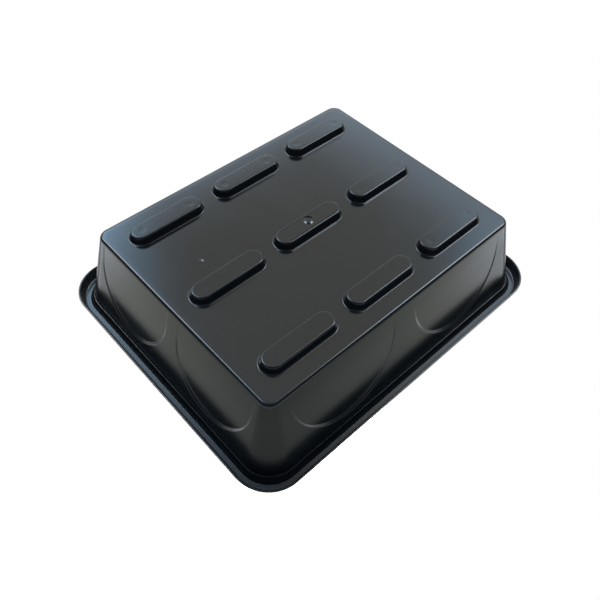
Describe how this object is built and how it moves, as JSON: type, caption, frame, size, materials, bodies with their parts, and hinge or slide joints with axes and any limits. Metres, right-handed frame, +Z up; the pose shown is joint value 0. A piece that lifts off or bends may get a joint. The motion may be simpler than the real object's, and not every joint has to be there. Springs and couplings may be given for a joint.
{
  "type": "gravel tray",
  "caption": "Shallow rectangular plastic tray with leaning arched walls, round corners, a rim with a hanging lip and low hollow feet, for holding gravel or pots.",
  "frame": {"origin": "Middle of the tray at the ground under its feet, with the tray upright on a level surface.", "axes": "+X along the long sides, +Y along the short sides toward the back, +Z up out of the tray's open top."},
  "size_m": [0.24, 0.198, 0.0613],
  "materials": {
    "tray_plastic": "satin black moulded plastic"
  },
  "bodies": {
    "root": {"floor_panel": "tray_plastic", "foot_front_left": "tray_plastic", "foot_front_centre": "tray_plastic", "foot_front_right": "tray_plastic", "foot_middle_left": "tray_plastic", "foot_middle_centre": "tray_plastic", "foot_middle_right": "tray_plastic", "foot_back_left": "tray_plastic", "foot_back_centre": "tray_plastic", "foot_back_right": "tray_plastic", "wall_front": "tray_plastic", "wall_right": "tray_plastic", "wall_back": "tray_plastic", "wall_left": "tray_plastic", "wall_corner_front_left": "tray_plastic", "wall_corner_front_right": "tray_plastic", "wall_corner_back_left": "tray_plastic", "wall_corner_back_right": "tray_plastic", "rim_front": "tray_plastic", "rim_right": "tray_plastic", "rim_back": "tray_plastic", "rim_left": "tray_plastic", "rim_corner_front_left": "tray_plastic", "rim_corner_front_right": "tray_plastic", "rim_corner_back_left": "tray_plastic", "rim_corner_back_right": "tray_plastic"}
  },
  "joints": []
}
